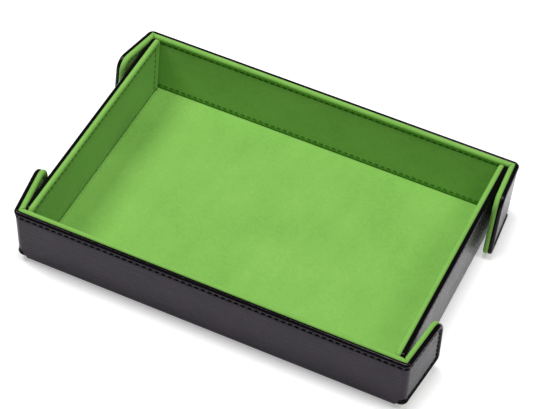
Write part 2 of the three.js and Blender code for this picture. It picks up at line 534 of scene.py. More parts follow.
def grid_mesh(
    name: str, points: np.ndarray, insets: np.ndarray, flipped: bool
) -> bpy.types.Mesh:
    """A smooth sheet from a grid of points.

    Args:
        name: The mesh's name.
        points: Rows by columns by 3.
        insets: Each point's distance in from the nearest hem, which the finishes read.
        flipped: Whether the faces turn the other way round.

    Returns:
        The mesh.
    """
    rows, columns = points.shape[:2]
    faces = []
    for i in range(rows - 1):
        for j in range(columns - 1):
            first = i * columns + j
            quad = (first, first + 1, first + columns + 1, first + columns)
            faces.append(quad[::-1] if flipped else quad)
    mesh = bpy.data.meshes.new(name)
    mesh.from_pydata(points.reshape(-1, 3).tolist(), [], faces)
    mesh.shade_smooth()
    mesh.attributes.new(INSET, "FLOAT", "POINT").data.foreach_set("value", insets.ravel())
    return mesh


def evaluated_mesh(holder: bpy.types.Object, name: str) -> bpy.types.Mesh:
    """The mesh that an object's modifiers give.

    Args:
        holder: The object.
        name: The new mesh's name.

    Returns:
        Plain mesh data, with no modifier left.
    """
    bpy.context.view_layer.update()
    shown = holder.evaluated_get(bpy.context.evaluated_depsgraph_get())
    mesh = bpy.data.meshes.new_from_object(shown)
    mesh.name = name
    return mesh


def thickened(mesh: bpy.types.Mesh, thickness: float) -> bpy.types.Mesh:
    """Gives a sheet a thickness behind its faces, closed at its rim.

    Args:
        mesh: The open sheet.
        thickness: How thick it becomes.

    Returns:
        The closed mesh.
    """
    holder = bpy.data.objects.new("sheet_holder", mesh)
    bpy.context.scene.collection.objects.link(holder)
    solid = holder.modifiers.new("thickness", "SOLIDIFY")
    solid.thickness = thickness
    solid.offset = -1
    solid.use_rim = True
    made = evaluated_mesh(holder, mesh.name)
    bpy.data.objects.remove(holder)
    made.shade_smooth()
    made.set_sharp_from_angle(angle=math.radians(SHARP_ANGLE))
    return made


def unevenness(point: Vector, size: float) -> float:
    """Smooth noise from -1 to 1 that varies over the given size."""
    return noise.noise(point / size)


def smooth(value: float) -> float:
    """A smooth step of a value held between 0 and 1."""
    held = min(max(value, 0.0), 1.0)
    return held * held * (3 - 2 * held)


# ---- Where the panels are -----------------------------------------------------------------


def node_points(node: str) -> np.ndarray:
    """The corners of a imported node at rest."""
    return np.array([v.co for v in FRAME["nodes"][node].data.vertices], float)


def joint_named(name: str) -> dict:
    """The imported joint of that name."""
    return next(j for j in FRAME["joints"] if j["name"] == name)


@dataclass(frozen=True)
class PanelFrame:
    """A panel's own axes at rest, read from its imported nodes.

    Its corner is where its outer face and its neighbour's would meet if the fold were sharp.
    """

    corner: Vector
    along: Vector
    up: Vector
    outward: Vector
    pivot: Vector
    depth: float

    @classmethod
    def read(cls, name: str, joint: str, side: int = 0) -> PanelFrame:
        """Reads a wall's or a flap's frame.

        Args:
            name: The panel's name, as its nodes start with.
            joint: The name of its hinge.
            side: 0 for a wall. For a flap, 1 or -1: the way it reaches along its wall.

        Returns:
            The frame.
        """
        hinge = joint_named(joint)
        pivot = Vector(hinge["pos_m"])
        axis = Vector(hinge["axis"]).normalized()
        board = node_points(f"{name}_board")
        spread = board - board.mean(0)
        normal = Vector(np.linalg.svd(spread, full_matrices=False)[2][2])
        centre = (Vector(CAD_BOX[0]) + Vector(CAD_BOX[1])) / 2
        outward = normal if normal.dot(pivot - centre) > 0 else -normal
        if side:
            up = axis if axis.z > 0 else -axis
            along = up.cross(outward).normalized()
        else:
            along = axis
            up = outward.cross(along).normalized()
        face = max(Vector(p).dot(outward) for p in node_points(f"{name}_cover"))
        depth = face - outward.dot(pivot)
        back = side * along if side else up
        return cls(pivot + depth * outward - depth * back, along, up, outward, pivot, depth)

    def at(self, across: float, height: float, inside: float) -> Vector:
        """The point at a place along and up the panel, at a depth behind its outer face."""
        return self.corner + self.along * across + self.up * height - self.outward * inside


@dataclass(frozen=True)
class FoldFrame:
    """The turning axis of a fold and the two directions that its section lies in."""

    pivot: Vector
    ahead: Vector
    inward: Vector
    axis: Vector
    bend: float
    depth: float

    def at(self, x: float, y: float, along: float) -> Vector:
        """The point at a place in the section and along the axis."""
        return self.pivot + self.ahead * x + self.inward * y + self.axis * along

    def turned(self, x: float, y: float) -> tuple[float, float]:
        """A point of the panel before the fold, mirrored on to the panel after it.

        Args:
            x: the point's place ahead of the pivot.
            y: its place on the inward side of the pivot.

        Returns:
            The same two places of the mirrored point.
        """
        across = math.pi / 2 + self.bend / 2
        angle = 2 * across - math.atan2(y, x)
        reach = math.hypot(x, y)
        return reach * math.cos(angle), reach * math.sin(angle)


# ---- Hems and sheets ----------------------------------------------------------------------


@dataclass(frozen=True)
class HemProfile:
    """The section of a padded hem: a roll at the edge, a swell and then the sewn valley.

    Each station is a distance in from the edge and a height above the panel's middle plane.
    ring_step is how far apart the roll's rings lie on an edge that crosses them, as a share
    of the distance to the roll's top.
    """

    roll: float = 1.75 * MM
    rise: float = 0.15 * MM
    proud: float = 0.68 * MM
    seam: float = 4.4 * MM
    swell: float = -0.50 * MM
    valley: float = 0.22 * MM
    puff: float = 0.10 * MM
    block: float = 11.5 * MM
    valley_width: float = 0.55 * MM
    puff_length: float = 3 * MM
    seam_half: float = 0.4 * MM
    start_angle: float = -68
    roll_rings: int = 10
    ring_step: float = 0.1037

    @property
    def apex(self) -> float:
        """Distance in from the edge at which the roll stands highest."""
        return self.roll - self.rise

    def stations(self) -> list[tuple[float, float]]:
        """Distance from the edge and height, from the edge seam to the block's end.

        Returns:
            One pair for each ring.
        """
        found = []
        crest = HALF_THICKNESS + self.proud
        for angle in np.radians(np.linspace(self.start_angle, 90, self.roll_rings)):
            inset = self.roll * (1 - math.cos(angle)) - self.rise
            found.append((inset, crest - self.roll * (1 - math.sin(angle))))
        spans = np.concatenate([
            np.linspace(self.apex + 0.35 * MM, self.seam - self.seam_half, 6),
            [self.seam, self.seam + self.seam_half, self.seam + 1.0 * MM],
            np.linspace(self.seam + 2.0 * MM, self.block, 4),
        ])
        return found + [(inset, self.face(inset)) for inset in spans]

    def face(self, inset: float) -> float:
        """Height of the face above the panel's middle plane.

        Args:
            inset: The distance in from the hem's edge, past the roll.

        Returns:
            The height.
        """
        height = HALF_THICKNESS
        if inset < self.seam:
            share = min(max((inset - self.apex) / (self.seam - self.apex), 0), 1)
            height += self.proud * (1 + math.cos(math.pi * share)) / 2
            height += self.swell * math.sin(math.pi * share)
        else:
            height += self.puff * (1 - math.exp(-(inset - self.seam) / self.puff_length))
        return height - self.valley * math.exp(-(((inset - self.seam) / self.valley_width) ** 2))


LINING_HEM = HemProfile(
    roll=1.85 * MM, rise=0.42 * MM, proud=1.0 * MM, seam=4.5 * MM, swell=0.0, valley=0.32 * MM,
    puff=0.16 * MM,
)


@dataclass(frozen=True)
class Outline:
    """A four-sided panel: its edges' places, and which of them are hemmed.

    Left and right give the edge's place at the foot and at the top, and bottom gives it at
    the left and at the right.
    """

    left: tuple[float, float]
    right: tuple[float, float]
    bottom: tuple[float, float]
    top: float
    hems: frozenset[str]
    radii: dict[str, float] = field(default_factory=dict)

    @property
    def width(self) -> float:
        """Mean width."""
        return (sum(self.right) - sum(self.left)) / 2

    @property
    def height(self) -> float:
        """Mean height."""
        return self.top - sum(self.bottom) / 2

    def warp(self, x: float, y: float, block: float) -> tuple[float, float]:
        """Moves a point of the mean rectangle on to the panel, keeping its hems' widths.

        Args:
            x: The point's distance from the left edge.
            y: Its distance from the bottom edge.
            block: The width along each edge that keeps its size.

        Returns:
            Its place along and up the panel.
        """
        share = x / self.width
        foot = self.bottom[0] + (self.bottom[1] - self.bottom[0]) * share
        height = self._between(y, self.height, foot, self.top, block)
        rise = height / self.top
        low = self.left[0] + (self.left[1] - self.left[0]) * rise
        high = self.right[0] + (self.right[1] - self.right[0]) * rise
        return self._between(x, self.width, low, high, block), height

    @staticmethod
    def _between(value: float, size: float, low: float, high: float, block: float) -> float:
        """Stretches only the middle of a length to fit between two places.

        Args:
            value: A place along the length.
            size: The length.
            low: Where the length starts on the panel.
            high: Where it ends.
            block: The stretch at each end that keeps its size.

        Returns:
            The place on the panel.
        """
        if value <= block:
            return low + value
        if value >= size - block:
            return high - (size - value)
        share = (value - block) / (size - 2 * block)
        return low + block + share * (high - low - 2 * block)


class HemmedSheet:
    """One face of a panel as a grid that follows its hems round their rounded corners."""

    def __init__(
        self,
        outline: Outline,
        profile: HemProfile,
        layer: Layer,
        spacing: float = 1.5 * MM,
        wave: float = 0.10 * MM,
    ) -> None:
        """Stores what the sheet is made from.

        Args:
            outline: The panel's outline.
            profile: The hems' section.
            layer: Which face of the panel it is.
            spacing: The grid's step away from the hems.
            wave: How far the face strays from flat.
        """
        self.outline = outline
        self.profile = profile
        self.layer = layer
        self.spacing = spacing
        self.wave = wave
        self.rings = profile.stations()

    def _nominal(self, ring: int) -> float:
        """A ring's place along the edges that cross it.

        Args:
            ring: the ring's number, counted from the edge seam.

        Returns:
            Its distance along those edges.
        """
        if ring < self.profile.roll_rings:
            return ring * self.profile.ring_step * self.profile.apex
        return self.rings[ring][0]

    def _line(self, size: float, low: bool, high: bool) -> list[tuple[float, int | None, int]]:
        """Grid places along one side.

        Args:
            size: The side's length.
            low: Whether it starts at a hem.
            high: Whether it ends at one.

        Returns:
            For each place: the place, its ring if it is in a hem, and that hem's end.
        """
        count = len(self.rings)
        ends = [self._nominal(i) for i in range(count)]
        first = ends[-1] if low else 0.0
        last = size - ends[-1] if high else size
        steps = max(2, round((last - first) / self.spacing))
        middle = [(float(p), None, 0) for p in np.linspace(first, last, steps + 1)]
        head = [(ends[i], i, -1) for i in range(count)] if low else []
        tail = [(size - ends[i], i, 1) for i in reversed(range(count))] if high else []
        return head + middle[bool(low): len(middle) - bool(high)] + tail

    def _round(self, ring: int, far: float, radius: float) -> tuple[float, float]:
        """A point on the ring's leg up one side of a corner.

        Args:
            ring: The ring's number.
            far: The point's nominal distance from the corner along that side.
            radius: The corner's radius.

        Returns:
            Its distances from that side and from the other one.
        """
        inset = self.rings[ring][0]
        start = self._nominal(ring)
        block = self.profile.block
        bend = max(radius - inset, 0.0)
        share = (far - start) / max(block - start, 1e-9)
        arc = bend * math.pi / 4
        straight = block - inset - bend
        travelled = share * (arc + straight)
        if travelled < arc:
            angle = math.radians(225) - travelled / bend
            centre = inset + bend
            return centre + bend * math.cos(angle), centre + bend * math.sin(angle)
        return inset, inset + bend + travelled - arc

    def _spot(self, column: tuple, row: tuple) -> tuple[float, float, float, float]:
        """Where a grid point lies.

        Args:
            column: Its entry from the line of columns.
            row: Its entry from the line of rows.

        Returns:
            Its place in the mean rectangle, its height above the middle plane, and its
            distance from the nearest hem.
        """
        x, i, x_end = column
        y, j, y_end = row
        across, up = x, y
        width, height = self.outline.width, self.outline.height
        if i is None and j is None:
            edge = self._from_edges(x, y, True)
            return x, y, self.profile.face(edge), edge
        ring = min(k for k in (i, j) if k is not None)
        if i is not None and j is not None:
            corner = ("top" if y_end > 0 else "bottom") + ("_right" if x_end > 0 else "_left")
            radius = self.outline.radii.get(corner, 0.0)
            if i <= j:
                across, up = self._round(ring, self._nominal(j), radius)
            else:
                up, across = self._round(ring, self._nominal(i), radius)
            across = width - across if x_end > 0 else across
            up = height - up if y_end > 0 else up
        elif i is not None:
            across = width - self.rings[i][0] if x_end > 0 else self.rings[i][0]
        else:
            up = height - self.rings[j][0] if y_end > 0 else self.rings[j][0]
        return across, up, self.rings[ring][1], self.rings[ring][0]

    def _from_edges(self, x: float, y: float, hemmed: bool) -> float:
        """Distance from the nearest edge of one kind.

        Args:
            x: The point's distance from the left edge.
            y: Its distance from the bottom edge.
            hemmed: Whether the edges that count are hems or folds.

        Returns:
            The distance, or a metre where the panel has no such edge.
        """
        sizes = {"left": x, "right": self.outline.width - x}
        sizes.update(bottom=y, top=self.outline.height - y)
        hems = self.outline.hems
        return min((sizes[side] for side in sizes if (side in hems) == hemmed), default=1.0)

    def mesh(self, name: str, frame: PanelFrame) -> bpy.types.Mesh:
        """Builds the sheet in place.

        Args:
            name: The mesh's name.
            frame: The panel's frame.

        Returns:
            The sheet with its thickness.
        """
        hems = self.outline.hems
        columns = self._line(self.outline.width, "left" in hems, "right" in hems)
        rows = self._line(self.outline.height, "bottom" in hems, "top" in hems)
        points = np.zeros((len(rows), len(columns), 3))
        insets = np.zeros((len(rows), len(columns)))
        for r, row in enumerate(rows):
            for c, column in enumerate(columns):
                points[r, c], insets[r, c] = self._point(frame, column, row)
        flat = grid_mesh(name, points, insets, self.layer is Layer.LINING)
        return thickened(flat, SHEET_THICKNESS)

    def _point(self, frame: PanelFrame, column: tuple, row: tuple) -> tuple[Vector, float]:
        """One point of the sheet.

        Args:
            frame: The panel's frame.
            column: The point's entry from the line of columns.
            row: Its entry from the line of rows.

        Returns:
            The point in place, and its distance in from the nearest hem.
        """
        x, y, height, edge = self._spot(column, row)
        across, up = self.outline.warp(x, y, self.profile.block)
        flat = frame.at(across, up, HALF_THICKNESS)
        wave = unevenness(flat, 24 * MM) + 0.45 * unevenness(flat, 8 * MM)
        free = smooth(self._from_edges(x, y, False) / (7 * MM)) * smooth(edge / (2 * MM))
        height += self.wave * wave * free
        return flat - frame.outward * (self.layer.value * height), min(edge, FAR_FROM_HEM)

    def seam(self, frame: PanelFrame, inset: float, step: float = 0.8 * MM) -> list[Vector]:
        """The line of a seam at one inset from the hems, from fold to fold.

        Args:
            frame: The panel's frame.
            inset: Its distance from the hemmed edge.
            step: The length between its points.

        Returns:
            The points, on the sheet's surface.
        """
        width, height = self.outline.width, self.outline.height
        hems = self.outline.hems
        lead = SEAM_LEAD
        if "left" in hems and "bottom" not in hems:
            legs = [(inset, lead), (inset, height - inset), (width - inset, height - inset)]
            legs.append((width - inset, lead))
        elif "bottom" in hems and "right" in hems:
            legs = [(lead, inset), (width - inset, inset), (width - inset, height - inset)]
            legs.append((lead, height - inset))
        elif "bottom" in hems:
            legs = [(width - lead, inset), (inset, inset), (inset, height - inset)]
            legs.append((width - lead, height - inset))
        else:
            legs = [(lead, height - inset), (width - lead, height - inset)]
        rounded = rounded_path(legs, self._seam_radii(inset), step)
        level = self.profile.face(inset) + STITCH_PROUD
        found = []
        for x, y in rounded:
            across, up = self.outline.warp(x, y, self.profile.block)
            centre = frame.at(across, up, HALF_THICKNESS)
            found.append(centre - frame.outward * (self.layer.value * level))
        return found

    def _seam_radii(self, inset: float) -> list[float]:
        """The radius of each bend of a seam.

        Args:
            inset: The seam's distance in from the edge.

        Returns:
            The radii, in the order of the outline's corners.
        """
        if not self.outline.radii:
            return []
        return [max(radius - inset, SEAM_RADIUS) for radius in self.outline.radii.values()]


def rounded_path(
    corners: list[tuple[float, float]], radii: list[float], step: float
) -> list[tuple[float, float]]:
    """A path through corners with its bends rounded.

    Args:
        corners: The path's corners.
        radii: The radius at each corner between the ends.
        step: The length between points.

    Returns:
        The points of the path.
    """
    places = [np.array(c, float) for c in corners]
    dense = [places[0]]
    for i in range(1, len(places) - 1):
        before = (places[i - 1] - places[i]) / np.linalg.norm(places[i - 1] - places[i])
        after = (places[i + 1] - places[i]) / np.linalg.norm(places[i + 1] - places[i])
        start, end = places[i] + before * radii[i - 1], places[i] + after * radii[i - 1]
        for t in np.linspace(0, 1, 7):
            dense.append((1 - t) ** 2 * start + 2 * t * (1 - t) * places[i] + t * t * end)
    dense.append(places[-1])
    lengths = np.cumsum([0.0] + [np.linalg.norm(b - a) for a, b in zip(dense, dense[1:])])
    wanted = np.linspace(0, lengths[-1], max(2, round(lengths[-1] / step)))
    table = np.array(dense)
    return [(float(np.interp(w, lengths, table[:, 0])), float(np.interp(w, lengths, table[:, 1])))
            for w in wanted]


# ---- Stitches -----------------------------------------------------------------------------


class StitchTree:
    """A Geometry Nodes tree that sews stitches along the edges of a mesh."""

    def __init__(self, material: bpy.types.Material) -> None:
        """Builds the tree for one thread.

        Args:
            material: the thread's material.
        """
        self.group = bpy.data.node_groups.new(f"stitches_{material.name}", "GeometryNodeTree")
        self.sockets: dict[str, str] = {}
        self._interface()
        self._build(material)

    def _interface(self) -> None:
        """Names the tree's inputs and its output."""
        face = self.group.interface
        face.new_socket("Geometry", in_out="INPUT", socket_type="NodeSocketGeometry")
        defaults = {
            "Pitch": STITCH_PITCH, "Length": 3.1 * MM, "Width": 0.75 * MM, "Height": 0.8 * MM,
        }
        for name, value in defaults.items():
            made = face.new_socket(name, in_out="INPUT", socket_type="NodeSocketFloat")
            made.default_value = value
            self.sockets[name] = made.identifier
        seed = face.new_socket("Seed", in_out="INPUT", socket_type="NodeSocketInt")
        self.sockets["Seed"] = seed.identifier
        face.new_socket("Geometry", in_out="OUTPUT", socket_type="NodeSocketGeometry")

    def _node(self, kind: str, settings: dict, inputs: dict) -> bpy.types.Node:
        """Adds a node with its settings, values and links.

        Args:
            kind: the node's type.
            settings: its settings by name.
            inputs: a value or a socket for each input that isn't left alone.

        Returns:
            The new node.
        """
        made = self.group.nodes.new(kind)
        for key, value in settings.items():
            setattr(made, key, value)
        for key, value in inputs.items():
            if isinstance(value, bpy.types.NodeSocket):
                self.group.links.new(value, made.inputs[key])
            else:
                made.inputs[key].default_value = value
        return made

    def _build(self, material: bpy.types.Material) -> None:
        """Lays stitches at even steps, turned along the seam and out of its face.

        Args:
            material: the thread's material.
        """
        entry = self._node("NodeGroupInput", {}, {}).outputs
        curve = self._node("GeometryNodeMeshToCurve", {}, {"Mesh": entry["Geometry"]})
        points = self._node(
            "GeometryNodeCurveToPoints",
            {"mode": "LENGTH"},
            {"Curve": curve.outputs[0], "Length": entry["Pitch"]},
        )
        normal = self._node(
            "GeometryNodeInputNamedAttribute", {"data_type": "FLOAT_VECTOR"}, {"Name": "face"}
        )
        lengthwise = self._node(
            "FunctionNodeAlignRotationToVector", {"axis": "X"}, {"Vector": points.outputs[1]}
        )
        upright = self._node(
            "FunctionNodeAlignRotationToVector",
            {"axis": "Z", "pivot_axis": "X"},
            {"Rotation": lengthwise.outputs[0], "Vector": normal.outputs[0]},
        )
        slant = self._node(
            "FunctionNodeRandomValue",
            {"data_type": "FLOAT_VECTOR"},
            {"Min": (0, 0, -STITCH_SLANT), "Max": (0, 0, STITCH_SLANT), "Seed": entry["Seed"]},
        )
        euler = self._node(
            "FunctionNodeEulerToRotation", {}, {"Euler": slant.outputs[0]}
        )
        turned = self._node(
            "FunctionNodeRotateRotation",
            {"rotation_space": "LOCAL"},
            {"Rotation": upright.outputs[0], "Rotate By": euler.outputs[0]},
        )
        ball = self._node(
            "GeometryNodeMeshUVSphere", {}, {"Segments": 8, "Rings": 6, "Radius": 0.5}
        )
        size = self._node(
            "ShaderNodeCombineXYZ",
            {},
            {"X": entry["Length"], "Y": entry["Width"], "Z": entry["Height"]},
        )
        placed = self._node(
            "GeometryNodeInstanceOnPoints",
            {},
            {
                "Points": points.outputs[0],
                "Instance": ball.outputs[0],
                "Rotation": turned.outputs[0],
                "Scale": size.outputs[0],
            },
        )
        real = self._node("GeometryNodeRealizeInstances", {}, {"Geometry": placed.outputs[0]})
        dressed = self._node(
            "GeometryNodeSetMaterial", {}, {"Geometry": real.outputs[0], "Material": material}
        )
        self._node("NodeGroupOutput", {}, {"Geometry": dressed.outputs[0]})

    def sew(
        self, name: str, seams: list[list[Vector]], face: Vector | list[Vector], **sizes: float
    ) -> bpy.types.Mesh:
        """Sews stitches along seams.

        Args:
            name: The mesh's name.
            seams: Lines of points.
            face: The way out of the face that they are sewn into, or one for each seam.
            **sizes: Values for the tree's named inputs.

        Returns:
            The stitches as one plain mesh.
        """
        faces = face if isinstance(face, list) else [face] * len(seams)
        points, edges, normals = [], [], []
        for seam, outward in zip(seams, faces):
            start = len(points)
            points += [tuple(p) for p in seam]
            edges += [(start + i, start + i + 1) for i in range(len(seam) - 1)]
            normals += list(outward) * len(seam)
        line = bpy.data.meshes.new(name)
        line.from_pydata(points, edges, [])
        attribute = line.attributes.new("face", "FLOAT_VECTOR", "POINT")
        attribute.data.foreach_set("vector", normals)
        holder = bpy.data.objects.new("seam_holder", line)
        bpy.context.scene.collection.objects.link(holder)
        sewn = holder.modifiers.new("stitches", "NODES")
        sewn.node_group = self.group
        for key, value in sizes.items():
            sewn[self.sockets[key]] = value
        made = evaluated_mesh(holder, name)
        bpy.data.objects.remove(holder)
        made.shade_smooth()
        return made


class SewingKit:
    """The black and the green thread."""

    def __init__(self, finishes: Finishes) -> None:
        """Builds one tree for each thread.

        Args:
            finishes: the tray's materials.
        """
        self.finishes = finishes
        self.trees = {
            Layer.COVER: StitchTree(finishes.black_thread),
            Layer.LINING: StitchTree(finishes.green_thread),
        }

    def piece(
        self,
        name: str,
        layer: Layer,
        seams: list[list[Vector]],
        face: Vector | list[Vector],
        seed: int,
    ) -> bpy.types.Object:
        """A piece of stitches in the thread of one face.

        Args:
            name: The piece's name.
            layer: The face of the panel.
            seams: Lines of points; the first one sets the pitch, so that its stitches end even.
            face: The way out of the face, or one for each seam.
            seed: Seed of the stitches' small turns.

        Returns:
            The piece, with the thread's material.
        """
        length = sum((b - a).length for a, b in zip(seams[0], seams[0][1:]))
        pitch = STITCH_PITCH
        if length > pitch:
            pitch = 0.9999 * length / round(length / pitch)
        mesh = self.trees[layer].sew(name, seams, face, Seed=seed, Pitch=pitch)
        materials = {
            Layer.COVER: self.finishes.black_thread,
            Layer.LINING: self.finishes.green_thread,
        }
        piece = new_piece(name, mesh, materials[layer])
        return piece


# ---- Panels -------------------------------------------------------------------------------


@dataclass
class Panel:
    """A wall, flap or base panel: its cover and lining, with a seam in each."""

    name: str
    body: str
    frame: PanelFrame
    cover: Outline
    lining: Outline
    sewn: bool = True
    wave: float = 0.10 * MM
    floor_seam: float | None = None
    floor_stitch_proud: float = 0.12 * MM
    cover_hem: HemProfile = HemProfile()
    lining_hem: HemProfile = LINING_HEM

    def build(self, finishes: Finishes, kit: SewingKit, seed: int) -> list[bpy.types.Object]:
        """Makes the panel's pieces and lets them ride on its body.

        Args:
            finishes: The materials.
            kit: The threads.
            seed: Seed of the stitches' small turns.

        Returns:
            The pieces.
        """
        pieces = []
        for layer, outline, hem in (
            (Layer.COVER, self.cover, self.cover_hem),
            (Layer.LINING, self.lining, self.lining_hem),
        ):
            sheet = HemmedSheet(outline, hem, layer, wave=self.wave)
            kind = layer.name.lower()
            material, slot = finishes.of_layer(layer)
            mesh = sheet.mesh(f"{self.name}_{kind}_sheet", self.frame)
            piece = new_piece(f"{self.name}_{kind}_sheet", mesh, material)
            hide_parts(f"{self.name}_{kind}")
            pieces.append(piece)
            if self.sewn:
                pieces.append(self._stitches(sheet, hem, layer, kit, seed))
        for piece in pieces:
            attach(piece, self.body)
        return pieces

    def _stitches(
        self, sheet: HemmedSheet, hem: HemProfile, layer: Layer, kit: SewingKit, seed: int
    ) -> bpy.types.Object:
        """The rows of stitches of one face.

        Args:
            sheet: The face's sheet.
            hem: Its hems' section.
            layer: Which face it is.
            kit: The threads.
            seed: Seed of the stitches' small turns.

        Returns:
            The stitches as one piece.
        """
        seams = [sheet.seam(self.frame, hem.seam)]
        if layer is Layer.LINING and self.floor_seam is not None:
            seams.append(self._foot_line(sheet))
        face = -self.frame.outward * layer.value
        name = f"{self.name}_{layer.name.lower()}_stitches"
        piece = kit.piece(name, layer, seams, face, seed)
        if layer is Layer.COVER:
            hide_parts(f"{self.name}_thread")
        return piece

    def _foot_line(self, sheet: HemmedSheet) -> list[Vector]:
        """The straight seam just above the floor.

        Args:
            sheet: The lining's sheet.

        Returns:
            The seam's points.
        """
        level = HALF_THICKNESS + sheet.profile.puff + self.floor_stitch_proud
        left, right = self.lining.left[0] + SEAM_LEAD, self.lining.right[0] - SEAM_LEAD
        ends = np.linspace(left, right, 220)
        inside = HALF_THICKNESS + level
        return [self.frame.at(float(x), self.floor_seam, inside) for x in ends]


# ---- Folds --------------------------------------------------------------------------------


@dataclass
class Fold:
    """The leather and the lining that bend between two bodies."""

    name: str
    bodies: tuple[str, str]
    frame: FoldFrame
    radius: float
    cover_end: float
    lining_end: float
    span: tuple[float, float]
    hemmed: bool
    cover_hem: HemProfile = HemProfile()
    lining_hem: HemProfile = LINING_HEM
    pleat_root: float = 2.5 * MM
    seed: int = 7

    def build(self, finishes: Finishes, kit: SewingKit) -> list[bpy.types.Object]:
        """Makes both strips and a hemmed fold's stitches, and bakes them in place.

        Args:
            finishes: The materials.
            kit: The threads.

        Returns:
            The pieces.
        """
        pieces = []
        for layer, node in ((Layer.COVER, "leather"), (Layer.LINING, "pleat")):
            material, slot = finishes.of_layer(layer)
            name = f"{self.name}_{layer.name.lower()}_strip"
            piece = new_piece(name, self._mesh(name, layer), material)
            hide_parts(f"{self.name}_{node}")
            self._blend(piece, layer)
            pieces.append(piece)
        if self.hemmed:
            stitches = self._stitches(kit)
            self._blend(stitches, Layer.COVER)
            pieces.append(stitches)
        return pieces

    def _blend(self, piece: bpy.types.Object, layer: Layer) -> None:
        """Bakes a piece in place; where its layer turns is worked out but not used."""
        start, end = self._ends(layer)
        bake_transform(piece)

    def _stitches(self, kit: SewingKit) -> bpy.types.Object:
        """The stitch of each hem that lies in the middle of the bend.

        Args:
            kit: The threads.

        Returns:
            The stitches as one piece.
        """
        hem = self.cover_hem
        section = self._section(Layer.COVER, hem.face(hem.seam) + STITCH_PROUD)
        middle = len(section) // 2
        seams, faces = [], []
        for place in (self.span[0] + hem.seam, self.span[1] - hem.seam):
            before, centre, after = (
                self.frame.at(*section[i], place) for i in (middle - 1, middle, middle + 1)
            )
            run = (after - before).normalized()
            seams.append([centre, centre + run * MM])
            faces.append((centre - (before + after) / 2).normalized())
        return kit.piece(f"{self.name}_stitches", Layer.COVER, seams, faces, self.seed)

    def _ends(self, layer: Layer) -> tuple[Vector, Vector]:
        """Where a strip starts and stops turning.

        Args:
            layer: The strip's layer.

        Returns:
            The two places.
        """
        depth = self.frame.depth
        if layer is Layer.COVER:
            first = (depth - self.radius, -depth)
        else:
            first = (depth - self.lining_end, PANEL_THICKNESS - depth)
        last = self.frame.turned(*first)
        middle = sum(self.span) / 2
        return self.frame.at(*first, middle), self.frame.at(*last, middle)

    def _section(self, layer: Layer, height: float) -> list[tuple[float, float]]:
        """A strip's section across the fold.

        Args:
            layer: The strip's layer.
            height: Its surface's height above the panels' middle planes.

        Returns:
            The section's points, in the fold's frame.
        """
        depth = self.frame.depth
        if layer is Layer.COVER:
            return self._arc(HALF_THICKNESS - height)
        level = HALF_THICKNESS + height - depth
        mouth = level / math.cos(self.frame.bend / 2)
        root = min(self.pleat_root, 0.82 * mouth)
        half = self.frame.bend / 2
        inward = np.array([-math.sin(half), math.cos(half)])
        start = np.array([depth - self.lining_end, level])
        corner = inward * mouth
        reach = 0.9 * np.linalg.norm(corner - start)
        throat = root + 0.7 * (mouth - root)
        controls = [start, start + [reach, 0], inward * throat, inward * root]
        half_path = [bezier(controls, t) for t in np.linspace(0, 1, 11)]
        mirrored = [self.frame.turned(*p) for p in half_path[-2::-1]]
        return [tuple(p) for p in half_path] + mirrored

    def _arc(self, inside: float) -> list[tuple[float, float]]:
        """The leather's bend.

        Args:
            inside: The depth behind its outer face.

        Returns:
            The bend's points, in the fold's frame.
        """
        depth, bend = self.frame.depth, self.frame.bend
        arc = (self.radius - depth) / math.tan(bend / 2) + depth
        centre = np.array([depth - self.radius, arc - depth])
        points = [(depth - self.cover_end, inside - depth)]
        for angle in np.linspace(-math.pi / 2, bend - math.pi / 2, 15):
            across = centre[0] + (arc - inside) * math.cos(angle)
            points.append((across, centre[1] + (arc - inside) * math.sin(angle)))
        points.append(self.frame.turned(*points[0]))
        return points

    def _hem(self, layer: Layer) -> HemProfile:
        """The hems' section on that layer."""
        return self.cover_hem if layer is Layer.COVER else self.lining_hem

    def _rows(self, layer: Layer) -> list[tuple[float, float, float]]:
        """The rows of a strip's grid.

        Args:
            layer: The strip's layer.

        Returns:
            For each row: its place along the fold, the surface's height, and the distance
            in from the nearest hem.
        """
        hem = self._hem(layer)
        plain = (hem.face(FAR_FROM_HEM), FAR_FROM_HEM)
        rings = hem.stations()
        low, high = self.span
        head = [(low, *plain)]
        tail = [(high, *plain)]
        if self.hemmed:
            head = [(low + inset, height, inset) for inset, height in rings]
            tail = [(high - inset, height, inset) for inset, height in reversed(rings)]
        steps = max(2, round((tail[0][0] - head[-1][0]) / (2 * MM)))
        middle = np.linspace(head[-1][0], tail[0][0], steps + 1)[1:-1]
        return head + [(float(place), head[-1][1], FAR_FROM_HEM) for place in middle] + tail

    def _mesh(self, name: str, layer: Layer) -> bpy.types.Mesh:
        """The strip as a sheet with thickness.

        Args:
            name: The mesh's name.
            layer: The strip's layer.

        Returns:
            The mesh.
        """
        rows = []
        places = self._rows(layer)
        for place, height, _ in places:
            rows.append([self.frame.at(x, y, place) for x, y in self._section(layer, height)])
        points = np.array([[tuple(p) for p in row] for row in rows])
        insets = np.array([[inset] * points.shape[1] for _, _, inset in places])
        mesh = grid_mesh(name, points, insets, self._flipped(points, layer))
        return thickened(mesh, SHEET_THICKNESS)

    def _flipped(self, points: np.ndarray, layer: Layer) -> bool:
        """Whether the grid's faces would look the wrong way.

        Args:
            points: The grid.
            layer: The strip's layer.

        Returns:
            True where they have to be turned round.
        """
        r, c = points.shape[0] // 2, 1
        side = np.cross(points[r, c] - points[r, c - 1], points[r + 1, c - 1] - points[r, c - 1])
        wanted = np.array(self.frame.inward) * layer.value
        return float(side @ wanted) < 0


def bezier(controls: list[np.ndarray], t: float) -> np.ndarray:
    """A point of a cubic curve.

    Args:
        controls: The curve's four control points.
        t: The place along it, from 0 to 1.

    Returns:
        The point.
    """
    a, b, c, d = controls
    s = 1 - t
    return s**3 * a + 3 * s * s * t * b + 3 * s * t * t * c + t**3 * d


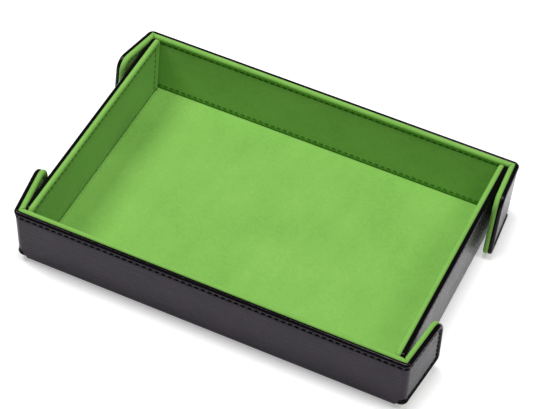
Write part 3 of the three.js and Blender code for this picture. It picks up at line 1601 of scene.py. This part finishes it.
# ---- The tray -----------------------------------------------------------------------------


@dataclass
class DiceTray:
    """The whole tray: its base, four walls, four flaps and the folds between them."""

    length: float = 260 * MM
    width: float = 174 * MM
    wall_height: float = 44.5 * MM
    short_setback: float = 6 * MM
    end_gap: float = 1.15 * MM
    foot_radius: float = 3.5 * MM
    corner_radius: float = 3.5 * MM
    lead: float = 0.4 * MM
    foot_lining: float = 6.3 * MM
    corner_lining: float = 6 * MM
    flap_length: float = 41 * MM
    flap_foot: tuple[float, float] = (3.6 * MM, 4.6 * MM)
    flap_sag: dict[str, tuple[float, float]] = field(default_factory=lambda: {
        "front_right": (0.4 * MM, 1.4 * MM),
        "back_right": (-2.2 * MM, -6.5 * MM),
    })
    flap_top_radius: float = 8.5 * MM
    flap_foot_radius: float = 4 * MM
    short_radius: float = 3.2 * MM
    floor_seam: float = 6.9 * MM
    base_wave: float = 0.03 * MM

    def __post_init__(self) -> None:
        """Makes the finishes and the threads."""
        self.finishes = Finishes()
        self.kit = SewingKit(self.finishes)
        self.walls = {
            side: PanelFrame.read(f"{side}_wall", f"{side}_wall_fold")
            for side in ("front", "back", "left", "right")
        }

    def build(self) -> None:
        """Builds every piece of the tray."""
        self._base()
        for seed, side in enumerate(("front", "back")):
            self._long_wall(side, seed)
        for seed, side in enumerate(("left", "right")):
            self._short_wall(side, 10 + seed)
        self._inner_pieces()

    def _base(self) -> None:
        """The base panel: leather underneath and the play surface on top."""
        half_length = self.length / 2 - self.short_setback
        half_width = self.width / 2
        frame = PanelFrame(
            Vector((0, 0, 0)), Vector((1, 0, 0)), Vector((0, -1, 0)), Vector((0, 0, -1)),
            Vector((0, 0, 0)), 0.0,
        )

        def outline(inset: float) -> Outline:
            """The base's rectangle, that far inside its folded corners."""
            x, y = half_length - inset, half_width - inset
            return Outline((-x, -x), (x, x), (-y, -y), y, frozenset())

        panel = Panel(
            "base", "base", frame,
            outline(self.foot_radius + self.lead), outline(self.foot_lining),
            sewn=False, wave=self.base_wave,
        )
        self._report(panel.build(self.finishes, self.kit, 0))

    def _long_wall(self, side: str, seed: int) -> None:
        """A long wall with its foot, its flaps and their corners.

        Args:
            side: Which wall.
            seed: Seed of its stitches' small turns.
        """
        frame = self.walls[side]
        half = self.length / 2

        def outline(end: float, foot: float) -> Outline:
            """The wall's outline with its folds that far from their corners."""
            x = half - end
            return Outline((-x, -x), (x, x), (foot, foot), self.wall_height, frozenset({"top"}))

        panel = Panel(
            f"{side}_wall", f"{side}_wall", frame,
            outline(self.corner_radius + self.lead, self.foot_radius + self.lead),
            outline(self.corner_lining, self.foot_lining),
            floor_seam=self.floor_seam,
        )
        self._report(panel.build(self.finishes, self.kit, seed))
        self._foot(side, half - self.short_setback)
        for reach in (-1, 1):
            self._flap(side, reach, seed * 2 + reach)

    def _short_wall(self, side: str, seed: int) -> None:
        """A short wall, as wide as the room between the leaning long walls.

        Args:
            side: Which wall.
            seed: Seed of its stitches' small turns.
        """
        frame = self.walls[side]
        ends = {"front": self._room("front"), "back": self._room("back")}
        left, right = ("back", "front") if side == "left" else ("front", "back")

        def outline(foot: float) -> Outline:
            """The wall's outline above its foot fold.

            Args:
                foot: height of its lower edge.

            Returns:
                The outline.
            """
            low, high = ends[left], ends[right]
            return Outline(
                (-low[0], -low[1]), high, (foot, foot), self.wall_height,
                frozenset({"left", "right", "top"}),
                {"top_left": self.short_radius, "top_right": self.short_radius},
            )

        panel = Panel(
            f"{side}_wall", f"{side}_wall", frame,
            outline(self.foot_radius + self.lead), outline(self.foot_lining),
        )
        self._report(panel.build(self.finishes, self.kit, seed))
        self._foot(side, self.width / 2 - self.foot_lining - 0.2 * MM)

    def _room(self, long_side: str) -> tuple[float, float]:
        """How far a short wall reaches towards a long wall, at its foot and at its top.

        Args:
            long_side: Which long wall.

        Returns:
            The two lengths from the short wall's middle.
        """
        wall = self.walls[long_side]
        inner = wall.corner - wall.outward * PANEL_THICKNESS
        slope = Vector((0, wall.up.y, wall.up.z))
        found = []
        for height in (0.0, self.wall_height):
            travelled = (height - inner.z) / slope.z
            found.append(abs(inner.y + slope.y * travelled) - self.end_gap)
        return found[0], found[1]

    def _foot(self, side: str, half: float) -> None:
        """The fold between the base and a wall.

        Args:
            side: Which wall.
            half: Half of the fold's length.
        """
        wall = self.walls[side]
        ahead = Vector((wall.outward.x, wall.outward.y, 0)).normalized()
        frame = FoldFrame(
            wall.pivot, ahead, Vector((0, 0, 1)), wall.along,
            math.acos(ahead.dot(wall.up)), wall.depth,
        )
        fold = Fold(
            f"{side}_wall_foot", ("base", f"{side}_wall"), frame, self.foot_radius,
            self.foot_radius + self.lead, self.foot_lining, (-half, half), False,
        )
        self._report(fold.build(self.finishes, self.kit))

    def _flap(self, side: str, reach: int, seed: int) -> None:
        """A flap and the corner that joins it to its long wall.

        Args:
            side: Which long wall.
            reach: 1 or -1: the way the flap goes along its wall.
            seed: Seed of its stitches' small turns.
        """
        wall = self.walls[side]
        east = (wall.along * reach).x > 0
        name = f"{side}_{'right' if east else 'left'}"
        frame = PanelFrame.read(f"{name}_flap", f"{name}_flap_fold", reach)
        sag = self.flap_sag.get(name, (0.0, 0.0))
        foot = (self.flap_foot[0] + sag[0], self.flap_foot[1] + sag[1])
        panel = Panel(
            f"{name}_flap", f"{name}_flap", frame,
            self._flap_outline(reach, foot, self.corner_radius + self.lead),
            self._flap_outline(reach, foot, self.corner_lining),
        )
        self._report(panel.build(self.finishes, self.kit, 20 + seed))
        ahead, inward = wall.along * reach, -wall.outward
        axis = wall.up
        corner = FoldFrame(
            frame.pivot, ahead, inward, axis,
            math.acos(ahead.dot(frame.along * reach)), frame.depth,
        )
        fold = Fold(
            f"{name}_corner", (f"{side}_wall", f"{name}_flap"), corner, self.corner_radius,
            self.corner_radius + self.lead, self.corner_lining,
            (foot[0], self.wall_height), True,
        )
        self._report(fold.build(self.finishes, self.kit))

    def _flap_outline(self, reach: int, foot: tuple[float, float], end: float) -> Outline:
        """A flap's outline.

        Args:
            reach: The way the flap goes along its wall.
            foot: The height of its lower edge at the corner and at the free end.
            end: How far from the corner the layer stops.

        Returns:
            The outline.
        """
        low, high = foot
        near = low + (high - low) * end / self.flap_length
        if reach > 0:
            return Outline(
                (end, end), (self.flap_length,) * 2, (near, high), self.wall_height,
                frozenset({"bottom", "right", "top"}),
                {"bottom_right": self.flap_foot_radius, "top_right": self.flap_top_radius},
            )
        return Outline(
            (-self.flap_length,) * 2, (-end, -end), (high, near), self.wall_height,
            frozenset({"bottom", "left", "top"}),
            {"bottom_left": self.flap_foot_radius, "top_left": self.flap_top_radius},
        )

    def _inner_pieces(self) -> None:
        """Dresses the boards and magnets inside the panels."""
        for name, node in FRAME["nodes"].items():
            finish = {"board": self.finishes.board, "magnet": self.finishes.magnet}
            kind = name.rsplit("_", 1)[-1]
            if kind in finish:
                node.data.materials.clear()
                node.data.materials.append(finish[kind])
                LOG.info("dressed %s", name)

    @staticmethod
    def _report(pieces: list[bpy.types.Object]) -> None:
        """Logs the pieces that were made."""
        for piece in pieces:
            LOG.info("made %s with %d faces", piece.name, len(piece.data.polygons))


# ---- Studio -------------------------------------------------------------------------------


@dataclass(frozen=True)
class Lamp:
    """A square area light aimed at the tray."""

    name: str
    place: tuple[float, float, float]
    size: float
    power: float

    def build(self) -> None:
        """Adds the light to the scene."""
        light = bpy.data.lights.new(self.name, "AREA")
        light.size = self.size
        light.energy = self.power
        lamp = bpy.data.objects.new(self.name, light)
        lamp.location = self.place
        lamp.rotation_euler = (-Vector(self.place)).to_track_quat("-Z", "Y").to_euler()
        bpy.context.scene.collection.objects.link(lamp)


@dataclass
class Studio:
    """The floor, the lights and the camera."""

    lamps: tuple[Lamp, ...] = (
        Lamp("top", (0.0, 0.02, 1.7), 0.45, 16.5),
        Lamp("left", (-0.95, 0.0, 1.45), 0.6, 16),
        Lamp("right", (0.95, 0.0, 1.45), 0.6, 7.5),
    )
    surround: float = 0.10
    floor_half: float = 6.0
    floor_drop: float = 0.4 * MM
    lens: float = 144.4
    distance: float = 1.351
    azimuth: float = 21.98
    elevation: float = 47.6
    roll: float = 4.18
    slide: tuple[float, float] = (-1.6 * MM, 19.8 * MM)

    def build(self, floor: bpy.types.Material) -> None:
        """Sets up the whole studio.

        Args:
            floor: the floor's material.
        """
        self._floor(floor)
        self._lights()
        self._camera()

    def _floor(self, material: bpy.types.Material) -> None:
        """A large plain floor just under the tray.

        Args:
            material: the floor's material.
        """
        half, level = self.floor_half, CAD_BOX[0][2] - self.floor_drop
        corners = [(-half, -half), (half, -half), (half, half), (-half, half)]
        mesh = bpy.data.meshes.new("studio_floor")
        mesh.from_pydata([(x, y, level) for x, y in corners], [], [(0, 1, 2, 3)])
        new_piece("studio_floor", mesh, material)

    def _lights(self) -> None:
        """A weak white surround, and soft lamps above, to the left and to the right."""
        world = bpy.data.worlds.new("studio")
        bpy.context.scene.world = world
        world.use_nodes = True
        surround = world.node_tree.nodes["Background"]
        surround.inputs["Color"].default_value = rgba(1, 1, 1)
        surround.inputs["Strength"].default_value = self.surround
        for lamp in self.lamps:
            lamp.build()

    def _camera(self) -> None:
        """A long lens, looking down at the tray from its front right."""
        azimuth, elevation = math.radians(self.azimuth), math.radians(self.elevation)
        back = Vector((
            math.sin(azimuth) * math.cos(elevation),
            -math.cos(azimuth) * math.cos(elevation),
            math.sin(elevation),
        ))
        right = Vector((math.cos(azimuth), math.sin(azimuth), 0))
        up = back.cross(right)
        place = back * self.distance + right * self.slide[0] + up * self.slide[1]
        turn = Matrix((right, up, back)).transposed()
        turn = turn @ Matrix.Rotation(math.radians(self.roll), 3, "Z")
        data = bpy.data.cameras.new("camera")
        data.lens = self.lens
        data.sensor_width = 36
        data.clip_end = 50
        camera = bpy.data.objects.new("camera", data)
        camera.matrix_world = Matrix.Translation(place) @ turn.to_4x4()
        bpy.context.scene.collection.objects.link(camera)
        bpy.context.scene.camera = camera


def main() -> None:
    """Builds the studio and the tray."""
    logging.basicConfig(level=logging.INFO, format="%(name)s: %(message)s")
    bpy.context.scene.view_settings.view_transform = "Standard"
    tray = DiceTray()
    Studio().build(tray.finishes.floor)
    tray.build()


if __name__ == "__main__":
    main()
